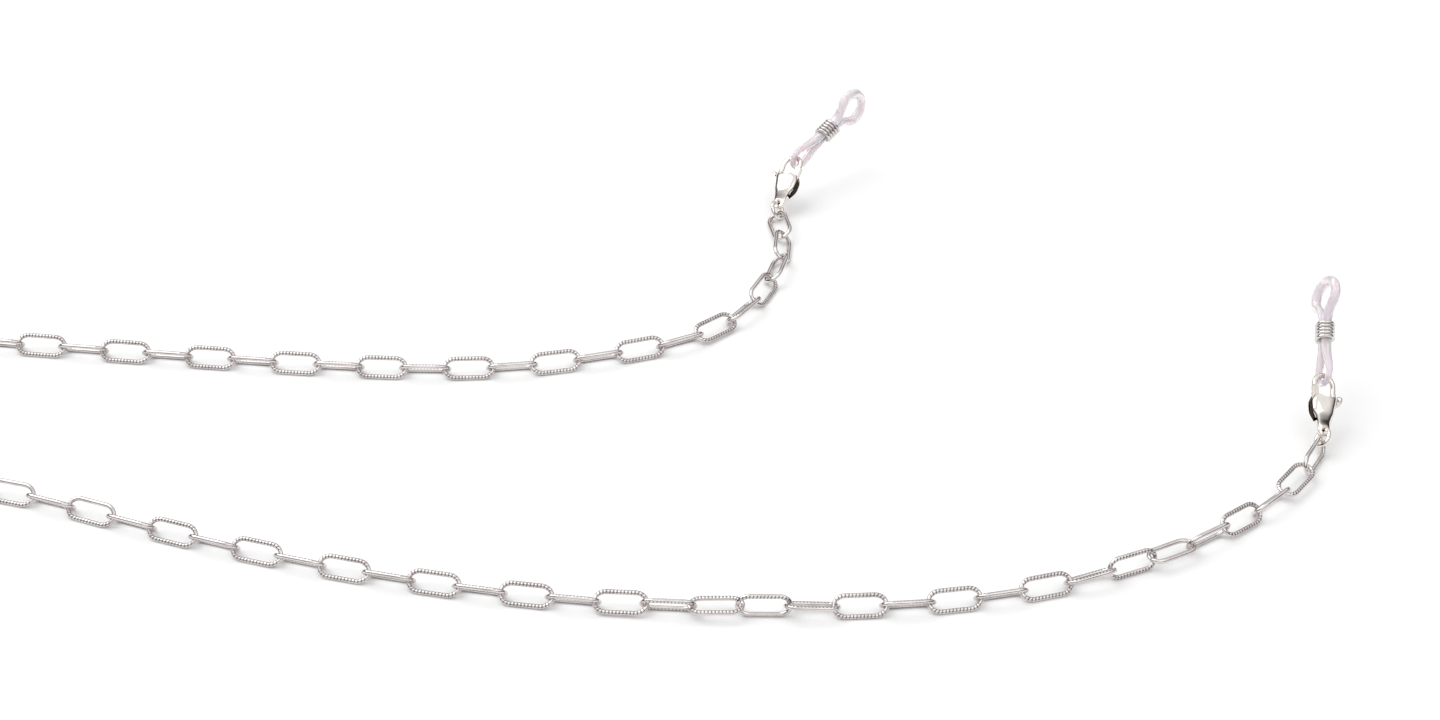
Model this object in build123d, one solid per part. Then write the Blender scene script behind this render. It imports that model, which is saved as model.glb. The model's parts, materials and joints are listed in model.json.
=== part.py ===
"""Eyeglasses chain strap: a paperclip-link chain with a lobster clasp, a silicone temple loop and a
wire cinch at each end. Millimetres, +Z up. It lies on the plane z = 0, as worn-in chain lies on a
table, with its two ends lifted a little, as the arms of a pair of glasses hold them.
"""

from build123d import *
import math
import os

# ---- Chain: driving dimensions, mm ----
WIRE = 0.9  # diameter of a link's wire
PITCH = 8.6  # from one contact between links to the next
PLAY = 0.12  # free space between two linked wires
LINK_WIDTH = 4.7  # outside
LINK_NOSE = 2.2  # how far along the link its half-oval ends reach
LINK_ROLL = 45.0  # degrees either way: a link leans on its long edge, and the next leans the other way
LINK_LENGTH = PITCH + 2 * WIRE + PLAY
LINK_HALF_WIDTH = (LINK_WIDTH - WIRE) / 2  # to the wire's centre

# ---- Chain: where it lies, in order from the back strand's clasp to the front strand's clasp ----
ROUTE = [
    (11.8, 52.4), (13.3, 43.0), (11.2, 29.0), (5.0, 15.5), (-5.2, 5.6), (-18.0, 0.4), (-40.0, -4.8),
    (-67.5, -5.2), (-102.0, -1.7), (-137.0, 2.8), (-158.0, 5.3), (-178.0, 4.6), (-196.0, -5.0),
    (-202.5, -20.5), (-195.5, -36.0), (-178.0, -44.5), (-158.0, -44.0), (-138.0, -45.5), (-118.0, -52.6),
    (-85.0, -65.3), (-51.0, -75.0), (-16.5, -80.8), (9.0, -82.0), (42.7, -79.7), (64.0, -74.2),
    (80.0, -67.3), (93.0, -58.8), (105.6, -47.0), (115.0, -32.0),
]
LINKS = 72
# Where the chain has been turned over by hand: link number, counted from the back clasp, and degrees.
TWIST = {1: 14, 3: 8, 5: 5, 6: -13, 54: 2, 55: 6, 56: 12, 57: 40, 58: 50, 59: 70, 60: 84, 61: 90, 62: 90,
         63: 90, 64: 90, 65: 78, 66: 55, 67: 47, 68: 18, 70: 5, 71: 32, 72: 60}
SINGLE_LINKS = 9  # at each end, each a node of its own; the others are in pairs

# ---- Jump ring ----
RING_WIRE = 0.85
RING_OUTSIDE = 4.4
RING_RADIUS = (RING_OUTSIDE - RING_WIRE) / 2  # to the wire's centre
RING_PLAY = 0.11

# ---- Lobster clasp, in its own frame: X from the eye to the hook, +Y the side that opens ----
EYE_HOLE = 0.8  # radius
EYE_RIM = 0.55
EYE_TIP = -EYE_HOLE - EYE_RIM
EYE_THICK = 1.1
BODY_THICK = 3.3
BODY_TOP = 6.9  # where the opening begins
CLASP_OUTLINE = [(EYE_TIP, -0.8), (EYE_TIP, 0.8), (0.7, 1.45), (3.1, 2.85), (5.3, 2.95), (BODY_TOP, 2.2),
                 (BODY_TOP, -2.7), (3.6, -2.05), (0.9, -1.3)]
CLASP_ROUNDING = [0.75, 0.75, 1.5, 1.5, 1.2, 0.3, 0.3, 3.0, 3.0]
CLASP_SWELL = [(-1.5, -0.55), (-1.5, 0.55), (0.8, 0.62), (3.2, 1.62), (5.2, 1.65), (7.2, 1.3), (7.2, -1.3),
               (5.2, -1.65), (3.2, -1.62), (0.8, -0.62)]
CLASP_SWELL_ROUNDING = [0.1, 0.1, 2.0, 1.5, 3.0, 0.1, 0.1, 3.0, 1.5, 2.0]
CLASP_EDGE = 0.3
HOOK_WIRE = 1.05
HOOK_PLAY = 0.35  # between it and the silicone inside it
HOOK_FOOT = 6.3  # where its wire comes out of the solid metal that bridges the slot
HOOK_CENTRE = (9.3, -0.1)
HOOK_RADIUS = 2.05  # to the wire's centre
PIVOT = (4.2, 0.4)
PIN_RADIUS = 0.4
PIN_PLAY = 0.05
SLOT = 1.3  # between the two cheeks
SLOT_FLOOR = 1.6
LEVER_THICK = 1.1
GATE_RADIUS = 4.88  # from the pivot to the lever's end
GATE_PLAY = 0.12
KNOB_AT = (7.1, -3.6)
KNOB_RADIUS = 0.62
SLOT_OUTLINE = [(SLOT_FLOOR, -1.2), (SLOT_FLOOR, 4.0), (BODY_TOP + 1, 4.0), (BODY_TOP + 1, 0.2), (HOOK_FOOT, -0.6),
                (HOOK_FOOT, -4.0), (3.3, -4.0), (2.4, -1.2)]
LEVER_OUTLINE = [(9.6, 2.45), (7.0, 2.25), (5.5, 2.65), (3.6, 2.6), (2.3, 1.9), (2.6, 1.2), (3.1, -0.7),
                 (4.3, -1.4), (5.55, -3.2), (6.7, -3.95), (7.2, -3.35), (6.2, -3.0), (5.5, -0.6), (5.6, 0.9), (7.0, 1.35), (9.6, 1.45)]
LEVER_HUB = 1.15
SPRING_STRIP = 0.2
SPRING_LINE = [(1.78, -1.0), (1.85, 1.1), (2.85, -0.75)]

# ---- Silicone loop, in its own frame: X from the hook to the glasses, Z along the temple ----
STRAND = 1.2  # thickness of the tail's two strands
TAIL_HALF_WIDTH = 2.5
TAIL_THICK = 1.4
TAIL_NARROW = 6.1  # where the tail has closed to a neck
NECK_RADIUS = 1.2
SHOULDER = 14.3  # where the neck opens to the ring
TEMPLE_AT = 19.0
TEMPLE_RADIUS = 2.2  # the hole that grips a temple
TEMPLE_OUTSIDE = 4.2
TEMPLE_THICK = 2.0
COIL_TURNS = 5
COIL_WIRE = 0.7
COIL_PITCH = 0.74
COIL_PLAY = 0.06
COIL_START = 8.9

# ---- How each end is held: the directions in which its pieces point, and each one's turn about that
# direction, in degrees, from squarely facing FACING ----
FACING = Vector(0, -0.83, 0.56)
BACK_END = {"clasp": (0.31, 0.80, 0.50), "loop": (0.66, 0.67, 0.34), "ring_turn": -42, "clasp_turn": 145,
            "loop_turn": 50}
FRONT_END = {"clasp": (0.06, 0.84, 0.54), "loop": (0.10, 0.87, 0.48), "ring_turn": 28, "clasp_turn": 22,
             "loop_turn": -66}


def make_link():
    """A closed wire loop in the XY plane: two straight sides joined by half-oval ends."""
    side = (LINK_LENGTH - WIRE) / 2 - LINK_NOSE
    nose = EllipticalCenterArc((side, 0), LINK_NOSE, LINK_HALF_WIDTH, start_angle=-90, arc_size=180)
    tail = EllipticalCenterArc((-side, 0), LINK_NOSE, LINK_HALF_WIDTH, start_angle=90, arc_size=180)
    top = Line(nose @ 1, tail @ 0)
    path = Wire([nose, top, tail, Line(tail @ 1, nose @ 0)])
    section = Plane(origin=top @ 0, z_dir=top % 0) * Circle(WIRE / 2)
    return sweep(section, path)


def lean_height(roll):
    """Height of a link's centre line when its lowest long side rests on the plane."""
    return LINK_HALF_WIDTH * abs(math.sin(math.radians(roll))) + WIRE / 2


def link_rolls():
    rolls = []
    for number in range(1, LINKS + 1):
        lean = LINK_ROLL if number % 2 == 0 else -LINK_ROLL
        rolls.append(lean + TWIST.get(number, 0))
    return rolls


def next_contact(route, at):
    """The place on the route, from 0 to 1, that is one pitch in a straight line from the place at."""
    here = route @ at
    low = at
    high = at + 1.5 * PITCH / route.length
    for _ in range(30):
        middle = (low + high) / 2
        if (route @ middle - here).length < PITCH:
            low = middle
        else:
            high = middle
    return (low + high) / 2


def contacts():
    """The points where links meet, each as high as the taller of its two links stands."""
    route = Spline(*[(x, y, 0) for x, y in ROUTE])
    heights = [lean_height(roll) for roll in link_rolls()]
    points = []
    at = 0.0
    for number in range(LINKS + 1):
        beside = heights[max(number - 1, 0):number + 1]
        points.append(route @ at + Vector(0, 0, max(beside)))
        if number < LINKS:
            at = next_contact(route, at)
    return points


def link_plane(start, end, roll):
    along = (end - start).normalized()
    level = Vector(0, 0, 1).cross(along).normalized()
    upright = along.cross(level)
    angle = math.radians(roll)
    normal = upright * math.cos(angle) + level * math.sin(angle)
    return Plane(origin=(start + end) / 2, x_dir=along, z_dir=normal)


def plate(face, thick):
    """A face in the XY plane, thickened evenly to both sides of it."""
    return Pos(0, 0, -thick / 2) * extrude(face, amount=thick, dir=(0, 0, 1))


def disc(centre, radius, thick):
    return Pos(centre[0], centre[1], 0) * Cylinder(radius, thick)


def closed_face(points):
    return make_face(Polyline(*points, close=True))


def make_hook():
    """The bent wire of the clasp, from the knob side over the top, cut to meet the lever's end."""
    cx, cy = HOOK_CENTRE
    foot = Vector(HOOK_FOOT, cy - HOOK_RADIUS)
    post = Vector(cx, cy - HOOK_RADIUS)
    top = Vector(cx + HOOK_RADIUS, cy)
    shoulder = Vector(cx, cy + HOOK_RADIUS)
    tip = shoulder - Vector(0.9, 0)
    path = Wire([Line(foot, post), ThreePointArc(post, top, shoulder), Line(shoulder, tip)])
    section = Plane(origin=foot, z_dir=(1, 0, 0)) * Circle(HOOK_WIRE / 2)
    gate_sweep = disc(PIVOT, GATE_RADIUS + GATE_PLAY, BODY_THICK)
    gate_side = Pos(cx, cy + HOOK_RADIUS, 0) * Box(4, 2.4, BODY_THICK)
    return sweep(section, path) - (gate_sweep & gate_side)


def rounded_face(points, radii):
    """A face inside straight edges, each corner rounded by its own radius."""
    face = closed_face(points)
    for (x, y), radius in zip(points, radii):
        corner = face.vertices().sort_by_distance((x, y, 0))[0]
        face = fillet(corner, radius)
    return face


def clasp_blank():
    """The clasp's outline from the front, cut to its thickness as seen from the side."""
    front = plate(rounded_face(CLASP_OUTLINE, CLASP_ROUNDING), BODY_THICK + 1)
    side = Plane.XZ * rounded_face(CLASP_SWELL, CLASP_SWELL_ROUNDING)
    return front & (Pos(0, 4, 0) * extrude(side, amount=8, dir=(0, -1, 0)))


def make_clasp_body():
    blank = clasp_blank()
    shell = fillet(blank.edges().filter_by(lambda e: abs(e.center().Z) > EYE_THICK / 2 - 0.1), CLASP_EDGE)
    slot = plate(closed_face(SLOT_OUTLINE), SLOT)
    body = shell - slot + make_hook()
    body -= disc((0, 0), EYE_HOLE, BODY_THICK)
    return body - disc(PIVOT, PIN_RADIUS, BODY_THICK)


def make_lever():
    """The sprung gate: a hub on the pin, a finger that shuts the hook and an arm to the thumb knob."""
    sheet = closed_face(LEVER_OUTLINE)
    sheet += Pos(*PIVOT) * Circle(LEVER_HUB)
    lever = plate(sheet, LEVER_THICK)
    lever &= disc(PIVOT, GATE_RADIUS, LEVER_THICK)
    lever -= disc(PIVOT, PIN_RADIUS + PIN_PLAY, LEVER_THICK)
    return lever + Pos(*KNOB_AT, 0) * Sphere(KNOB_RADIUS)


def make_pin():
    """A headless rivet, flush with the clasp's two faces."""
    return disc(PIVOT, PIN_RADIUS, BODY_THICK - 0.3)


def make_spring():
    """A bent leaf behind the lever: one leg on the slot's floor, the other under the lever's heel."""
    path = FilletPolyline(*SPRING_LINE, radius=0.3)
    return plate(trace(path, SPRING_STRIP), LEVER_THICK - 0.1)


def tapered_ring(centre, radius, narrow, narrow_radius):
    """The face inside a big and a small circle and their two tangents."""
    circles = Pos(centre, 0) * Circle(radius) + Pos(narrow, 0) * Circle(narrow_radius)
    return make_hull(circles.edges())


def make_silicone_loop():
    """One moulded band: the ring for a temple, a round neck for the cinch and a tail through the clasp."""
    ring = plate(tapered_ring(TEMPLE_AT, TEMPLE_OUTSIDE, SHOULDER, NECK_RADIUS - 0.1), TEMPLE_THICK)
    ring = fillet(ring.edges().filter_by(Plane.XY), 0.6)
    ring -= disc((TEMPLE_AT, 0), TEMPLE_RADIUS, TEMPLE_THICK)
    turn = TAIL_HALF_WIDTH - STRAND
    tail = plate(tapered_ring(TAIL_HALF_WIDTH - STRAND / 2, TAIL_HALF_WIDTH, TAIL_NARROW, NECK_RADIUS - 0.1),
                 TAIL_THICK)
    tail = fillet(tail.edges().filter_by(Plane.XY), 0.45)
    tail -= plate(tapered_ring(TAIL_HALF_WIDTH - STRAND / 2, turn, TAIL_NARROW - 0.6, 0.2), TAIL_THICK)
    neck_start = TAIL_NARROW - 0.15
    neck_length = SHOULDER + 0.4 - neck_start
    neck = Pos(neck_start + neck_length / 2, 0, 0) * Rot(0, 90, 0) * Cylinder(NECK_RADIUS, neck_length)
    return ring + neck + tail


def make_coil():
    """The cinch: a close-wound wire whose turns grip the silicone neck."""
    radius = NECK_RADIUS + COIL_PLAY + COIL_WIRE / 2
    turns = Helix(COIL_PITCH, COIL_PITCH * COIL_TURNS, radius, center=(COIL_START + COIL_WIRE / 2, 0, 0),
                  direction=(1, 0, 0))
    section = Plane(origin=turns @ 0, z_dir=turns % 0) * Circle(COIL_WIRE / 2)
    return sweep(section, turns, is_frenet=True)


def facing_plane(origin, along, turn):
    """A plane whose X runs along, and whose normal faces FACING, then turns about X by turn degrees."""
    across = FACING.cross(along).normalized()
    normal = along.cross(across)
    return Plane(origin=origin, x_dir=along, z_dir=normal.rotate(Axis((0, 0, 0), along), turn))


def end_planes(contact, along, held):
    """Where the four pieces of one end go: the chain ends at contact, pointing along."""
    clasp_way = Vector(*held["clasp"]).normalized()
    loop_way = Vector(*held["loop"]).normalized()
    link_wire = contact + along * (WIRE + PLAY) / 2
    near_wire = link_wire - along * (WIRE / 2 + RING_WIRE / 2 + RING_PLAY)
    ring_way = (along + clasp_way * 2).normalized()
    ring_centre = near_wire + ring_way * RING_RADIUS
    wire_turn = facing_plane(ring_centre, ring_way, held["ring_turn"])
    ring = Plane(origin=ring_centre, x_dir=ring_way, z_dir=wire_turn.y_dir)
    clasp = facing_plane(ring_centre + ring_way * RING_RADIUS, clasp_way, held["clasp_turn"])
    pull = Vector(loop_way.dot(clasp.x_dir), loop_way.dot(clasp.y_dir)).normalized()
    inside_hook = Vector(*HOOK_CENTRE) + pull * (HOOK_RADIUS - HOOK_WIRE / 2 - STRAND / 2 - HOOK_PLAY)
    loop = facing_plane(clasp.from_local_coords(inside_hook), loop_way, held["loop_turn"])
    return {"ring": ring, "clasp": clasp, "loop": loop}


def end_pieces(name, planes):
    ring = planes["ring"].location
    clasp = planes["clasp"].location
    loop = planes["loop"].location
    return {
        name + "_jump_ring": ring * Torus(RING_RADIUS, RING_WIRE / 2),
        name + "_clasp_body": clasp * make_clasp_body(),
        name + "_clasp_lever": clasp * make_lever(),
        name + "_clasp_pin": clasp * make_pin(),
        name + "_clasp_spring": clasp * make_spring(),
        name + "_silicone_loop": loop * make_silicone_loop(),
        name + "_cinch_coil": loop * make_coil(),
    }


def link_groups():
    """Node name to the numbers of its links: single links near the clasps, and pairs between them."""
    groups = {}
    for number in range(1, SINGLE_LINKS + 1):
        groups[f"back_link_{number:02d}"] = [number]
    pairs = (LINKS - 2 * SINGLE_LINKS) // 2
    for pair in range(pairs):
        first = SINGLE_LINKS + 1 + 2 * pair
        groups[f"link_pair_{pair + 1:02d}"] = [first, first + 1]
    for number in range(SINGLE_LINKS, 0, -1):
        groups[f"front_link_{number:02d}"] = [LINKS + 1 - number]
    return groups


def chain_pieces(points):
    link = make_link()
    rolls = link_rolls()
    pieces = {}
    for node, numbers in link_groups().items():
        planes = [link_plane(points[n - 1], points[n], rolls[n - 1]) for n in numbers]
        pieces[node] = Compound([plane.location * link for plane in planes])
    return pieces


def both_ends(points):
    back_way = (points[0] - points[1]).normalized()
    front_way = (points[-1] - points[-2]).normalized()
    return {
        "back": end_planes(points[0], back_way, BACK_END),
        "front": end_planes(points[-1], front_way, FRONT_END),
    }


def assembly():
    """Every piece, still in the route's own frame."""
    points = contacts()
    pieces = chain_pieces(points)
    for name, planes in both_ends(points).items():
        pieces |= end_pieces(name, planes)
    return pieces


def origin_shift(pieces):
    """The move that puts the middle of the strap's box over the origin and its lowest point at z = 0."""
    box = Compound(list(pieces.values())).bounding_box()
    middle = box.center()
    return Vector(-middle.X, -middle.Y, -box.min.Z)


def main():
    os.makedirs("parts", exist_ok=True)
    pieces = assembly()
    shift = Location(origin_shift(pieces))
    for node, shape in pieces.items():
        export_step(shift * shape, f"parts/{node}.step")


if __name__ == "__main__":
    main()
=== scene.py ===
"""Eyeglasses chain strap: polished links with milled faces, lobster clasps, silicone loops and cinches.

Lengths are in millimetres in each piece's own frame, and meshes are placed in metres in the row frame.
"""

import json
import math

import bmesh
import bpy
import numpy as np
from mathutils import Matrix, Vector


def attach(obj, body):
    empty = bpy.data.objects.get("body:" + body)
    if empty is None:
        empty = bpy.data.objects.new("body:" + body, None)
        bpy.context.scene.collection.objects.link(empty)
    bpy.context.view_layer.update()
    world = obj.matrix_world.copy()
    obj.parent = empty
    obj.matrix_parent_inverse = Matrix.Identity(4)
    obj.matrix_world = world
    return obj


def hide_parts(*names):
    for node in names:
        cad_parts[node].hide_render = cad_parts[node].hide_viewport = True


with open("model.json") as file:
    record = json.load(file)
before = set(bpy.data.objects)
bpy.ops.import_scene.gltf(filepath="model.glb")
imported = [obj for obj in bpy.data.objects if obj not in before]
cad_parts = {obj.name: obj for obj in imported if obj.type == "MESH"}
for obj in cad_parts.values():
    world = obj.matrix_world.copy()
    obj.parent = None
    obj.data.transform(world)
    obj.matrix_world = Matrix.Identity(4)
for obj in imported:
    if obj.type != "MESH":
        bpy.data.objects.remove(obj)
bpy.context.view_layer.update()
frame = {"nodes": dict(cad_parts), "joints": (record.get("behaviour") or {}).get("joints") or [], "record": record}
joints = {joint["name"]: joint for joint in frame["joints"]}
mounts = {mount["name"]: mount for mount in frame["record"]["mounts"]}

MM = 0.001
UP = Vector((0, 0, 1))

# ---- Camera and light, metres ----
CAMERA_AT = Vector((0.0417, -0.5742, 0.389))
CAMERA_TILT = 56.0  # degrees up from looking straight down
CAMERA_LENS = 87.5  # millimetres, on a sensor 36 wide
FLOOR_SIZE = 6.0

# ---- Links ----
WIRE = 0.9
LINK_HALF_LENGTH = 4.81  # of the wire's centre line
LINK_HALF_WIDTH = 1.9
LINK_NOSE = 2.2  # how far along the link its half-oval ends reach
BEAD = 0.64  # pitch of the milled beads
BEAD_DEPTH = 0.065
BEAD_LEAN = 0.2  # how far, in beads, a notch slants across the face
BEAD_STEPS = 6  # rings of mesh to a bead
FRONT_COVER = (46, 68)  # degrees from the link's front face where the milling fades out
REAR_COVER = (20, 38)  # and from its rear face
BEAD_END = (4.2, 4.7)  # along the link, where the milling dies out
WIRE_SIDES = 16
RUB = 0.035  # radius worn off the wire at the ends, where links rub
RUB_FROM = (3.9, 4.6)
FACE_SIDE = Vector((0, -0.6, 0.8))  # the link face that counts as its front looks this way
# Links not milled on both sides: node and place in it from left to right, and the side that is milled.
MILLED_SIDES = {
    ("back_link_01", 0): "", ("back_link_02", 0): "", ("back_link_03", 0): "", ("back_link_04", 0): "lower",
    ("link_pair_16", 1): "lower", ("link_pair_17", 1): "lower", ("link_pair_25", 0): "upper",
    ("front_link_06", 0): "", ("front_link_05", 0): "", ("front_link_03", 0): "", ("front_link_01", 0): "",
}

# ---- Jump ring ----
RING_WIRE = 0.85
RING_RADIUS = 1.775
RING_CUT = 0.07  # width of the saw cut that closes it
RING_CUT_AT = 105.0  # degrees round it from the clasp
RING_STEPS = 96

# ---- Clasp, X from the eye to the hook, +Y the side that opens ----
PIVOT = Vector((4.2, 0.4, 0))
EYE_HOLE = 0.8
EYE_RIM = 1.33  # outside radius
SECTION_SIDES = 56
EYE_STEPS = 14
CLASP_POWER = 3.2  # of the superellipse its section follows: 2 is an oval
CLASP_SECTIONS = [
    # x, reach to +Y, reach to -Y, half thickness
    (0.0, 1.33, 1.33, 0.53), (0.8, 1.45, 1.32, 0.61), (2.0, 2.1, 1.55, 1.15), (3.1, 2.75, 1.9, 1.52),
    (4.3, 2.95, 2.15, 1.64), (5.4, 2.93, 2.42, 1.62), (6.3, 2.6, 2.62, 1.5), (6.75, 2.35, 2.64, 1.38),
    (6.9, 2.15, 2.5, 1.22),
]
SLOT = 1.3  # between the two cheeks
SLOT_FLOOR = 1.6
BODY_TOP = 6.95
SLOT_PAINTED_SHADE = 0.8  # painted shade: how dark the slot's walls are made, standing in for the shade down in the slot
SLOT_OUTLINE = [(SLOT_FLOOR, -1.2), (SLOT_FLOOR, 4.0), (7.9, 4.0), (7.9, 0.2), (6.3, -0.6), (6.3, -4.0),
                (3.3, -4.0), (2.4, -1.2)]
MOUTH_AT = (8.35, 0.1)
MOUTH_RADIUS = 1.85  # of the hollow that carries the hook's opening down into the body
HOOK_WIRE = 1.05
HOOK_CENTRE = (9.3, -0.1)
HOOK_RADIUS = 2.05
HOOK_ROOT = 5.6  # where its wire starts, within the slot
HOOK_FLARE = 0.3  # extra wire radius where it leaves the body
HOOK_SIDES = 24
FOOT_STEPS = 12
BEND_STEPS = 36
LEVER_THICK = 1.1
LEVER_BEVEL = 0.14
LEVER_LINE = [
    (8.6, 2.28), (7.3, 2.2), (6.4, 1.95), (5.4, 1.7), (4.2, 1.65), (3.2, 1.55), (2.6, 1.35), (2.65, 0.9),
    (3.1, -0.6), (4.3, -1.4), (5.0, -2.4), (5.6, -3.2), (6.65, -3.85), (7.1, -3.45), (6.2, -3.08),
    (5.8, -1.8), (5.5, -0.6), (5.6, 0.8), (7.0, 1.38), (8.7, 1.5), (8.84, 1.85),
]
KNOB = [
    # y and radius of the thumb knob at the end of the lever's arm
    (-4.22, 0.1), (-4.15, 0.34), (-3.97, 0.53), (-3.65, 0.62), (-3.33, 0.57), (-3.13, 0.44), (-3.03, 0.2),
]
KNOB_X = 7.1
PIN = [(-1.5, 0.05), (-1.48, 0.3), (-1.4, 0.39), (1.4, 0.39), (1.48, 0.3), (1.5, 0.05)]
PIN_HOLE = 0.43

# ---- Silicone loop, X from the hook to the glasses ----
COIL_TURNS = 5
COIL_WIRE = 0.7
COIL_PITCH = 0.74
COIL_RADIUS = 1.61
COIL_START = 8.9


# ---------------------------------------------------------------- mesh helpers

def skin(rings, closed):
    """Vertices and faces of a skin through rings of points; an open one is capped at both ends."""
    count = len(rings[0])
    points = [point for ring in rings for point in ring]
    faces = []
    for i in range(len(rings) if closed else len(rings) - 1):
        here = i * count
        there = (i + 1) % len(rings) * count
        for k in range(count):
            after = (k + 1) % count
            faces.append((here + k, here + after, there + after, there + k))
    if not closed:
        faces.append(tuple(range(count - 1, -1, -1)))
        faces.append(tuple(range(len(points) - count, len(points))))
    return points, faces


def oval(centre, across, upward, half_across, half_up, sides):
    ring = []
    for k in range(sides):
        angle = 2 * math.pi * k / sides
        ring.append(centre + across * math.cos(angle) * half_across + upward * math.sin(angle) * half_up)
    return ring


def spline(knots, steps, closed):
    """Points on a Catmull-Rom curve through knots, each any tuple of numbers."""
    knots = [np.array(knot, float) for knot in knots]
    count = len(knots)
    spans = count if closed else count - 1
    points = []
    for i in range(spans):
        if closed:
            before, here, there, after = (knots[(i + k) % count] for k in (-1, 0, 1, 2))
        else:
            before, here, there, after = (knots[min(max(i + k, 0), count - 1)] for k in (-1, 0, 1, 2))
        for step in range(steps):
            t = step / steps
            points.append(0.5 * (2 * here + (there - before) * t
                                 + (2 * before - 5 * here + 4 * there - after) * t ** 2
                                 + (3 * here - before - 3 * there + after) * t ** 3))
    if not closed:
        points.append(knots[-1])
    return points


def mesh_object(name, parts, material):
    """One object from parts, each (points in mm, faces, matrix in metres, one number per point)."""
    points = []
    faces = []
    dips = []
    for part_points, part_faces, place, part_dips in parts:
        base = len(points)
        points += [place @ (point * MM) for point in part_points]
        faces += [tuple(base + k for k in face) for face in part_faces]
        dips += part_dips or [0.0] * len(part_points)
    mesh = bpy.data.meshes.new(name)
    mesh.from_pydata(points, [], faces)
    mesh.validate()
    mesh.shade_smooth()
    # dip darkens the colour: patina at the bottom of the milled notches, and painted shade on the clasp's slot
    # walls
    dip = mesh.attributes.new("dip", "FLOAT", "POINT")
    dip.data.foreach_set("value", dips)
    mesh.materials.append(material)
    piece = bpy.data.objects.new(name, mesh)
    bpy.context.scene.collection.objects.link(piece)
    return piece


def install(piece, body, node):
    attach(piece, body)
    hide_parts(node)


def smooth_step(low, high, value):
    t = min(max((value - low) / (high - low), 0), 1)
    return t * t * (3 - 2 * t)


# ---------------------------------------------------------------- where the CAD pieces are

def islands(mesh):
    """The faces of each separate solid of a bmesh."""
    left = set(mesh.faces)
    found = []
    while left:
        stack = [left.pop()]
        island = []
        while stack:
            face = stack.pop()
            island.append(face)
            for edge in face.edges:
                for other in edge.link_faces:
                    if other in left:
                        left.remove(other)
                        stack.append(other)
        found.append(island)
    return found


def solid_frames(node):
    """For each solid of a CAD node, its middle and its long, wide and thin ways."""
    mesh = bmesh.new()
    mesh.from_mesh(frame["nodes"][node].data)
    bmesh.ops.remove_doubles(mesh, verts=mesh.verts, dist=1e-7)
    found = []
    for island in islands(mesh):
        areas = np.array([face.calc_area() for face in island])
        middles = np.array([face.calc_center_median()[:] for face in island])
        centre = (middles * areas[:, None]).sum(0) / areas.sum()
        scatter = (middles - centre).T @ ((middles - centre) * areas[:, None])
        values, ways = np.linalg.eigh(scatter)
        thin, wide, long = (Vector(ways[:, k]) for k in (0, 1, 2))
        found.append((Vector(centre), long, wide, thin))
    mesh.free()
    return sorted(found, key=lambda solid: solid[0].x)


def place(origin, along, across, normal):
    rotation = Matrix((along, across, normal)).transposed().to_4x4()
    return Matrix.Translation(origin) @ rotation


# ---------------------------------------------------------------- links

def link_outline():
    """Point and outward way at even steps round a link's centre line: straight sides, half-oval ends."""
    side = LINK_HALF_LENGTH - LINK_NOSE
    fine = []
    for lap, start in ((1, -90), (-1, 90)):
        for step in range(401):
            turn = math.radians(start + 180 * step / 400)
            x = side * lap + LINK_NOSE * math.cos(turn)
            fine.append(Vector((x, LINK_HALF_WIDTH * math.sin(turn), 0)))
    fine.append(fine[0])
    reach = np.cumsum([0.0] + [(b - a).length for a, b in zip(fine, fine[1:])])
    count = round(reach[-1] / BEAD) * BEAD_STEPS
    even = np.arange(count) * reach[-1] / count
    xs = np.interp(even, reach, [point.x for point in fine])
    ys = np.interp(even, reach, [point.y for point in fine])
    points = [Vector((x, y, 0)) for x, y in zip(xs, ys)]
    line = []
    for i, point in enumerate(points):
        way = (points[(i + 1) % count] - points[i - 1]).normalized()
        line.append((point, Vector((way.y, -way.x, 0))))
    return line


def milled(point, angle, phase, sides):
    """How deep the milling is, from 0 to 1, at an angle round the wire from its outer side."""
    if not sides or (sides == "upper" and point.y < 0) or (sides == "lower" and point.y > 0):
        return 0.0
    from_face = abs(90 - abs((math.degrees(angle) + 180) % 360 - 180))
    cover = 1 - smooth_step(*(FRONT_COVER if math.sin(angle) > 0 else REAR_COVER), from_face)
    cover *= 1 - smooth_step(*BEAD_END, abs(point.x))
    slant = BEAD_LEAN * math.cos(angle)
    return cover * (1 - abs(math.sin(math.pi * (phase + slant))))


def link_shape(sides):
    """A link in its own frame, milled on both long sides, one or neither."""
    rings = []
    dips = []
    for i, (point, outward) in enumerate(link_outline()):
        ring = []
        for k in range(WIRE_SIDES):
            angle = 2 * math.pi * k / WIRE_SIDES
            dip = milled(point, angle, i / BEAD_STEPS, sides)
            radius = WIRE / 2 - BEAD_DEPTH * dip - RUB * smooth_step(*RUB_FROM, abs(point.x))
            ring.append(point + (outward * math.cos(angle) + UP * math.sin(angle)) * radius)
            dips.append(dip)
        rings.append(ring)
    points, faces = skin(rings, closed=True)
    return points, faces, dips


def link_place(found):
    centre, long, wide, thin = found
    thin = thin if thin.dot(FACE_SIDE) > 0 else -thin
    wide = wide if wide.z > 0 else -wide
    return place(centre, wide.cross(thin), wide, thin)


def add_links(metal):
    shapes = {sides: link_shape(sides) for sides in ("", "upper", "lower", "both")}
    for node in sorted(frame["nodes"]):
        if "link" not in node:
            continue
        parts = []
        for index, found in enumerate(solid_frames(node)):
            points, faces, dips = shapes[MILLED_SIDES.get((node, index), "both")]
            parts.append((points, faces, link_place(found), dips))
        piece = mesh_object("milled_" + node, parts, metal)
        install(piece, node, node)


# ---------------------------------------------------------------- silicone loop and coil

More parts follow.
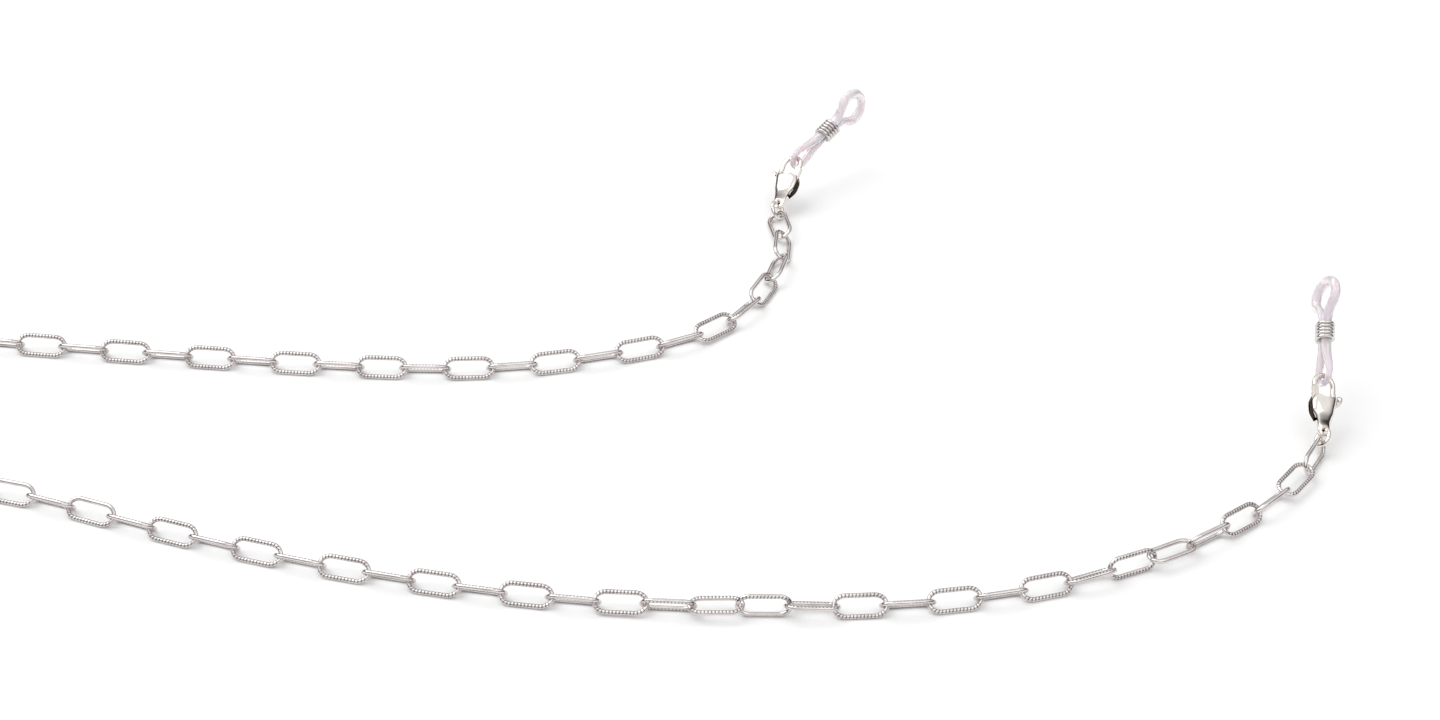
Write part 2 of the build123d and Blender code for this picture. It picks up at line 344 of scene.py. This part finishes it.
LOOP_HALF = [
    # x, y, half width and half height of the strand
    (0.0, 0.0, 0.60, 0.68), (0.55, 1.32, 0.60, 0.68), (1.95, 1.86, 0.60, 0.68), (4.1, 1.42, 0.74, 0.82),
    (6.4, 0.84, 0.72, 1.0), (8.8, 0.56, 0.62, 1.12), (12.6, 0.56, 0.62, 1.12), (14.6, 0.80, 0.66, 1.08),
    (16.3, 1.74, 0.86, 1.0), (17.6, 2.87, 0.98, 1.0), (19.3, 3.2, 1.0, 1.0), (21.3, 2.23, 1.0, 1.0),
    (22.2, 0.0, 1.0, 1.0),
]


def loop_shape():
    knots = LOOP_HALF + [(x, -y, w, h) for x, y, w, h in reversed(LOOP_HALF[1:-1])]
    line = spline(knots, 10, closed=True)
    rings = []
    for i, (x, y, half_width, half_height) in enumerate(line):
        along = line[(i + 1) % len(line)] - line[i - 1]
        across = Vector((along[1], -along[0], 0)).normalized()
        rings.append(oval(Vector((x, y, 0)), across, UP, half_width, half_height, 18))
    points, faces = skin(rings, closed=True)
    return points, faces, None


def coil_shape():
    steps = 36
    rings = []
    for i in range(COIL_TURNS * steps + 1):
        angle = 2 * math.pi * i / steps
        x = COIL_START + COIL_WIRE / 2 + COIL_PITCH * i / steps
        outward = Vector((0, math.cos(angle), math.sin(angle)))
        rings.append(oval(outward * COIL_RADIUS + Vector((x, 0, 0)), outward, Vector((1, 0, 0)),
                          COIL_WIRE / 2, COIL_WIRE / 2, 14))
    points, faces = skin(rings, closed=False)
    return points, faces, None


def loop_place(end):
    origin = Vector(joints["clasp_loop_" + end]["pos_m"])
    along = -Vector(joints["cinch_slide_" + end]["axis"]).normalized()
    normal = Vector(mounts[end + "_temple"]["axis"]).normalized()
    return place(origin, along, normal.cross(along), normal)


# ---------------------------------------------------------------- clasp and jump ring

def prism(outline, thick):
    """A flat-sided solid between two copies of an outline in the XY plane."""
    rings = [[Vector((x, y, z)) for x, y in outline] for z in (-thick / 2, thick / 2)]
    return skin(rings, closed=False)


def circle(centre, radius, sides):
    x, y = centre
    turns = [2 * math.pi * k / sides for k in range(sides)]
    return [(x + radius * math.cos(turn), y + radius * math.sin(turn)) for turn in turns]


def turned(profile, centre, axis, across, sides):
    """A round solid about an axis, from the distance along it and radius of each ring."""
    upward = axis.cross(across)
    rings = [oval(centre + axis * at, across, upward, radius, radius, sides) for at, radius in profile]
    return skin(rings, closed=False)


def signed_power(value, power):
    return math.copysign(abs(value) ** power, value)


def clasp_section(x, up, down, thick):
    ring = []
    for k in range(SECTION_SIDES):
        angle = 2 * math.pi * k / SECTION_SIDES
        y = signed_power(math.cos(angle), 2 / CLASP_POWER) * (up + down) / 2 + (up - down) / 2
        z = signed_power(math.sin(angle), 2 / CLASP_POWER) * thick
        ring.append(Vector((x, y, z)))
    return ring


def clasp_shell():
    """The teardrop: a round eye that swells into the deep, crowned body."""
    rings = []
    for step in range(1, EYE_STEPS):
        turn = math.pi / 2 * step / EYE_STEPS
        reach = EYE_RIM * math.sin(turn)
        thick = CLASP_SECTIONS[0][3] * math.sin(turn) ** 0.4
        rings.append(clasp_section(-EYE_RIM * math.cos(turn), reach, reach, thick))
    rings += [clasp_section(*values) for values in spline(CLASP_SECTIONS, 8, closed=False)]
    return skin(rings, closed=False)


def hook_shape():
    """The bent wire from the knob side over the top to the lever's end, flared where it leaves the body."""
    x, y = HOOK_CENTRE
    wire = HOOK_WIRE / 2
    outward = Vector((0, -1, 0))
    rings = []
    for step in range(FOOT_STEPS + 1):
        at = HOOK_ROOT + (x - HOOK_ROOT) * step / FOOT_STEPS
        flare = HOOK_FLARE * (1 - smooth_step(6.6, 8.2, at))
        foot = Vector((at, y - HOOK_RADIUS, 0))
        rings.append(oval(foot, outward, UP, wire + flare * 0.5, wire + flare, HOOK_SIDES))
    for step in range(1, BEND_STEPS + 1):
        turn = math.pi * step / BEND_STEPS - math.pi / 2
        outward = Vector((math.cos(turn), math.sin(turn), 0))
        bend = Vector((x, y, 0)) + outward * HOOK_RADIUS
        rings.append(oval(bend, outward, UP, wire, wire, HOOK_SIDES))
    gate_way = Vector((-0.31, 0.95, 0))
    rings.append(oval(Vector((x - 0.2, y + HOOK_RADIUS, 0)), gate_way, UP, wire, wire, HOOK_SIDES))
    tip = Vector((x - 0.26, y + HOOK_RADIUS, 0))
    rings.append(oval(tip, gate_way, UP, wire * 0.8, wire * 0.8, HOOK_SIDES))
    return skin(rings, closed=False)


def lever_plate():
    """The lever cut from sheet, its edges rounded over."""
    line = [Vector((x, y, 0)) for x, y in spline(LEVER_LINE, 8, closed=True)]
    half = LEVER_THICK / 2
    rings = []
    for step in range(-7, 8):
        turn = min(abs(step), 6) / 6 * math.pi / 2
        inset = LEVER_BEVEL * (1 - math.cos(turn))
        height = math.copysign(half - LEVER_BEVEL * (1 - math.sin(turn)), step) if step else 0
        ring = []
        for i, point in enumerate(line):
            way = (line[(i + 1) % len(line)] - line[i - 1]).normalized()
            ring.append(point + Vector((-way.y, way.x, 0)) * -inset + UP * height)
        rings.append(ring)
    return skin(rings, closed=False)


def carved(shape, added, removed):
    """A shape joined with the added shapes and cut by the removed ones, as points and faces in mm."""
    whole = plain_object("carved", shape)
    helpers = []
    for tools, operation in ((added, "UNION"), (removed, "DIFFERENCE")):
        for tool in tools:
            helper = plain_object("tool", tool)
            step = whole.modifiers.new("cut", "BOOLEAN")
            step.operation = operation
            step.solver = "EXACT"
            step.object = helper
            helpers.append(helper)
    bpy.context.view_layer.update()
    done = whole.evaluated_get(bpy.context.evaluated_depsgraph_get()).to_mesh()
    points = [vertex.co.copy() for vertex in done.vertices]
    faces = [tuple(face.vertices) for face in done.polygons]
    for helper in helpers + [whole]:
        bpy.data.objects.remove(helper)
    return points, faces


def plain_object(name, shape):
    """A bare mesh object with its normals facing out, for the cuts."""
    mesh = bpy.data.meshes.new(name)
    mesh.from_pydata(shape[0], [], shape[1])
    made = bmesh.new()
    made.from_mesh(mesh)
    bmesh.ops.recalc_face_normals(made, faces=made.faces)
    made.to_mesh(mesh)
    made.free()
    whole = bpy.data.objects.new(name, mesh)
    bpy.context.scene.collection.objects.link(whole)
    return whole


def clasp_shapes():
    """Body, lever and pin, each as points and faces."""
    pin_at = (PIVOT.x, PIVOT.y)
    cuts = [prism(SLOT_OUTLINE, SLOT), prism(circle((0, 0), EYE_HOLE, 40), 6),
            prism(circle(MOUTH_AT, MOUTH_RADIUS, 64), 6)]
    body = carved(carved(clasp_shell(), [], cuts), [hook_shape()], [])
    knob = turned(KNOB, Vector((KNOB_X, 0, 0)), Vector((0, 1, 0)), Vector((1, 0, 0)), 28)
    lever = carved(lever_plate(), [knob], [prism(circle(pin_at, PIN_HOLE, 32), 6)])
    pin = turned(PIN, PIVOT, UP, Vector((1, 0, 0)), 32)
    return {"clasp_body": body, "clasp_lever": lever, "clasp_pin": pin}


def clasp_place(end):
    origin = Vector(joints["clasp_swing_" + end]["pos_m"])
    lever = joints["clasp_lever_" + end]
    normal = -Vector(lever["axis"]).normalized()
    to_pivot = (Vector(lever["pos_m"]) - origin).normalized()
    along = Matrix.Rotation(-math.atan2(PIVOT.y, PIVOT.x), 3, normal) @ to_pivot
    return place(origin, along, normal.cross(along), normal)


def ring_shape():
    """The jump ring, sawn through once."""
    cut = RING_CUT / RING_RADIUS
    start = math.radians(RING_CUT_AT) + cut / 2
    rings = []
    for step in range(RING_STEPS + 1):
        turn = start + (2 * math.pi - cut) * step / RING_STEPS
        outward = Vector((math.cos(turn), math.sin(turn), 0))
        rings.append(oval(outward * RING_RADIUS, outward, UP, RING_WIRE / 2, RING_WIRE / 2, 20))
    return skin(rings, closed=False)


def ring_place(end):
    centre, long, wide, thin = solid_frames(end + "_jump_ring")[0]
    to_clasp = Vector(joints["clasp_swing_" + end]["pos_m"]) - centre
    along = (to_clasp - thin * to_clasp.dot(thin)).normalized()
    return place(centre, along, thin.cross(along), thin)


def slot_painted_shade(points):
    """Painted shade on the walls of the slot, standing in for the shade between the cheeks, and 0 elsewhere."""
    return [SLOT_PAINTED_SHADE * (abs(abs(p.z) - SLOT / 2) < 0.003 and SLOT_FLOOR - 0.01 < p.x < BODY_TOP)
            for p in points]


def add_clasp(end, shapes, metal):
    bodies = {"clasp_body": "_clasp", "clasp_pin": "_clasp", "clasp_lever": "_lever"}
    for part, (points, faces) in shapes.items():
        # the body's slot walls get painted shade through dip
        dips = slot_painted_shade(points) if part == "clasp_body" else None
        placed = (points, faces, clasp_place(end), dips)
        piece = mesh_object(end + "_polished_" + part, [placed], metal)
        piece.data.set_sharp_from_angle(angle=math.radians(35))
        install(piece, end + bodies[part], end + "_" + part)


def add_ring(end, metal):
    points, faces = ring_shape()
    piece = mesh_object(end + "_sawn_ring", [(points, faces, ring_place(end), None)], metal)
    piece.data.set_sharp_from_angle(angle=math.radians(50))
    install(piece, end + "_jump_ring", end + "_jump_ring")


# ---------------------------------------------------------------- materials

def material(name):
    made = bpy.data.materials.new(name)
    made.use_nodes = True
    return made, made.node_tree.nodes, made.node_tree.links, made.node_tree.nodes["Principled BSDF"]


def noise(nodes, links, where, scale, detail):
    made = nodes.new("ShaderNodeTexNoise")
    made.inputs["Scale"].default_value = scale
    made.inputs["Detail"].default_value = detail
    links.new(where, made.inputs["Vector"])
    return made.outputs["Fac"]


def ramp(nodes, links, factor, low, high):
    """A two-colour ramp, each end a position and a colour."""
    made = nodes.new("ShaderNodeValToRGB")
    for element, (position, color) in zip(made.color_ramp.elements, (low, high)):
        element.position = position
        element.color = (*color, 1)
    links.new(factor, made.inputs["Fac"])
    return made.outputs["Color"]


def spread(nodes, links, value, low, high):
    made = nodes.new("ShaderNodeMapRange")
    made.inputs["From Min"].default_value = 0.3
    made.inputs["From Max"].default_value = 0.7
    made.inputs["To Min"].default_value = low
    made.inputs["To Max"].default_value = high
    links.new(value, made.inputs["Value"])
    return made.outputs["Result"]


def bump(nodes, links, height, distance, shader):
    made = nodes.new("ShaderNodeBump")
    made.inputs["Strength"].default_value = 0.6
    made.inputs["Distance"].default_value = distance
    links.new(height, made.inputs["Height"])
    links.new(made.outputs["Normal"], shader.inputs["Normal"])


def metal_material(name, bright, dull, roughness, scratch):
    """Plated metal: handled patches a little duller, hairline scratches, dark at the bottom of notches, and
    painted shade on the walls of the clasp's slot.
    """
    made, nodes, links, shader = material(name)
    where = nodes.new("ShaderNodeTexCoord").outputs["Object"]
    handled = noise(nodes, links, where, 260, 3)
    plating = ramp(nodes, links, handled, (0.35, dull), (0.6, bright))
    dip = nodes.new("ShaderNodeAttribute")
    dip.attribute_name = "dip"
    # darkening from dip: patina in the notches, painted shade on the slot walls
    notch_patina_and_painted_shade = ramp(nodes, links, dip.outputs["Fac"], (0.25, (1, 1, 1)), (0.95, (0.10, 0.075, 0.07)))
    both = nodes.new("ShaderNodeMixRGB")
    both.blend_type = "MULTIPLY"
    both.inputs["Fac"].default_value = 1.0
    links.new(plating, both.inputs["Color1"])
    links.new(notch_patina_and_painted_shade, both.inputs["Color2"])
    links.new(both.outputs["Color"], shader.inputs["Base Color"])
    links.new(spread(nodes, links, handled, roughness * 1.5, roughness * 0.8), shader.inputs["Roughness"])
    bump(nodes, links, noise(nodes, links, where, 3500, 2), scratch, shader)
    shader.inputs["Metallic"].default_value = 1.0
    return made


def silicone_material():
    made, nodes, links, shader = material("milky_silicone")
    where = nodes.new("ShaderNodeTexCoord").outputs["Object"]
    cloud = noise(nodes, links, where, 220, 3)
    milk = ramp(nodes, links, cloud, (0.3, (0.80, 0.74, 0.79)), (0.7, (0.88, 0.83, 0.86)))
    links.new(milk, shader.inputs["Base Color"])
    links.new(spread(nodes, links, cloud, 0.42, 0.3), shader.inputs["Roughness"])
    bump(nodes, links, noise(nodes, links, where, 1800, 3), 0.00002, shader)
    shader.inputs["Transmission Weight"].default_value = 0.45
    shader.inputs["IOR"].default_value = 1.41
    shader.inputs["Subsurface Weight"].default_value = 0.4
    shader.inputs["Subsurface Scale"].default_value = 0.0015
    return made


# ---------------------------------------------------------------- stage

def add_stage():
    bpy.ops.mesh.primitive_plane_add(size=FLOOR_SIZE)
    floor = bpy.context.object
    floor.name = "floor"
    made, nodes, links, shader = material("paper_floor")
    shader.inputs["Base Color"].default_value = (0.93, 0.93, 0.93, 1)
    shader.inputs["Roughness"].default_value = 0.9
    shader.inputs["Specular IOR Level"].default_value = 0.1
    floor.data.materials.append(made)


def add_light(name, at, aim, size, watts):
    data = bpy.data.lights.new(name, "AREA")
    data.size = size
    data.energy = watts
    light = bpy.data.objects.new(name, data)
    light.location = at
    light.rotation_euler = (Vector(aim) - Vector(at)).to_track_quat("-Z", "Y").to_euler()
    bpy.context.scene.collection.objects.link(light)


def add_world():
    world = bpy.data.worlds.new("studio")
    bpy.context.scene.world = world
    world.use_nodes = True
    nodes = world.node_tree.nodes
    links = world.node_tree.links
    background = nodes["Background"]
    where = nodes.new("ShaderNodeTexCoord")
    split = nodes.new("ShaderNodeSeparateXYZ")
    links.new(where.outputs["Generated"], split.inputs[0])
    room = ramp(nodes, links, split.outputs["Z"], (0.2, (0.05, 0.042, 0.045)), (0.6, (0.95, 0.95, 0.95)))
    seen = nodes.new("ShaderNodeLightPath")
    backdrop = nodes.new("ShaderNodeMixRGB")
    backdrop.inputs["Color2"].default_value = (0.95, 0.95, 0.95, 1)
    links.new(seen.outputs["Is Camera Ray"], backdrop.inputs["Fac"])
    links.new(room, backdrop.inputs["Color1"])
    links.new(backdrop.outputs["Color"], background.inputs["Color"])
    background.inputs["Strength"].default_value = 1.0


def add_camera():
    data = bpy.data.cameras.new("camera")
    data.lens = CAMERA_LENS
    data.sensor_width = 36
    camera = bpy.data.objects.new("camera", data)
    camera.location = CAMERA_AT
    camera.rotation_euler = (math.radians(CAMERA_TILT), 0, 0)
    bpy.context.scene.collection.objects.link(camera)
    bpy.context.scene.camera = camera


# ---------------------------------------------------------------- the whole scene

chain_metal = metal_material("polished_chain", (0.74, 0.70, 0.69), (0.62, 0.57, 0.565), 0.11, 0.000008)
clasp_metal = metal_material("polished_clasp", (0.86, 0.82, 0.77), (0.76, 0.71, 0.66), 0.07, 0.000002)
coil_metal = metal_material("coil_wire", (0.74, 0.71, 0.69), (0.6, 0.56, 0.55), 0.12, 0.000006)
silicone = silicone_material()
shapes = clasp_shapes()
add_links(chain_metal)
for end in ("back", "front"):
    points, faces, dips = loop_shape()
    piece = mesh_object(end + "_silicone", [(points, faces, loop_place(end), dips)], silicone)
    install(piece, end + "_loop", end + "_silicone_loop")
    points, faces, dips = coil_shape()
    piece = mesh_object(end + "_coil_wire", [(points, faces, loop_place(end), dips)], coil_metal)
    install(piece, end + "_coil", end + "_cinch_coil")
    add_clasp(end, shapes, clasp_metal)
    add_ring(end, clasp_metal)
    spring = frame["nodes"][end + "_clasp_spring"].data
    spring.materials.clear()
    spring.materials.append(coil_metal)
add_stage()
add_light("key", (-0.8, 0.35, 1.2), (0.05, 0, 0), 1.4, 10.5)
add_light("fill", (0.9, -0.7, 1.4), (0, 0, 0), 1.2, 2)
add_light("front", (0.1, -1.3, 0.95), (0.05, 0, 0), 1.3, 2.5)
add_world()
add_camera()
bpy.context.scene.view_settings.view_transform = "Standard"
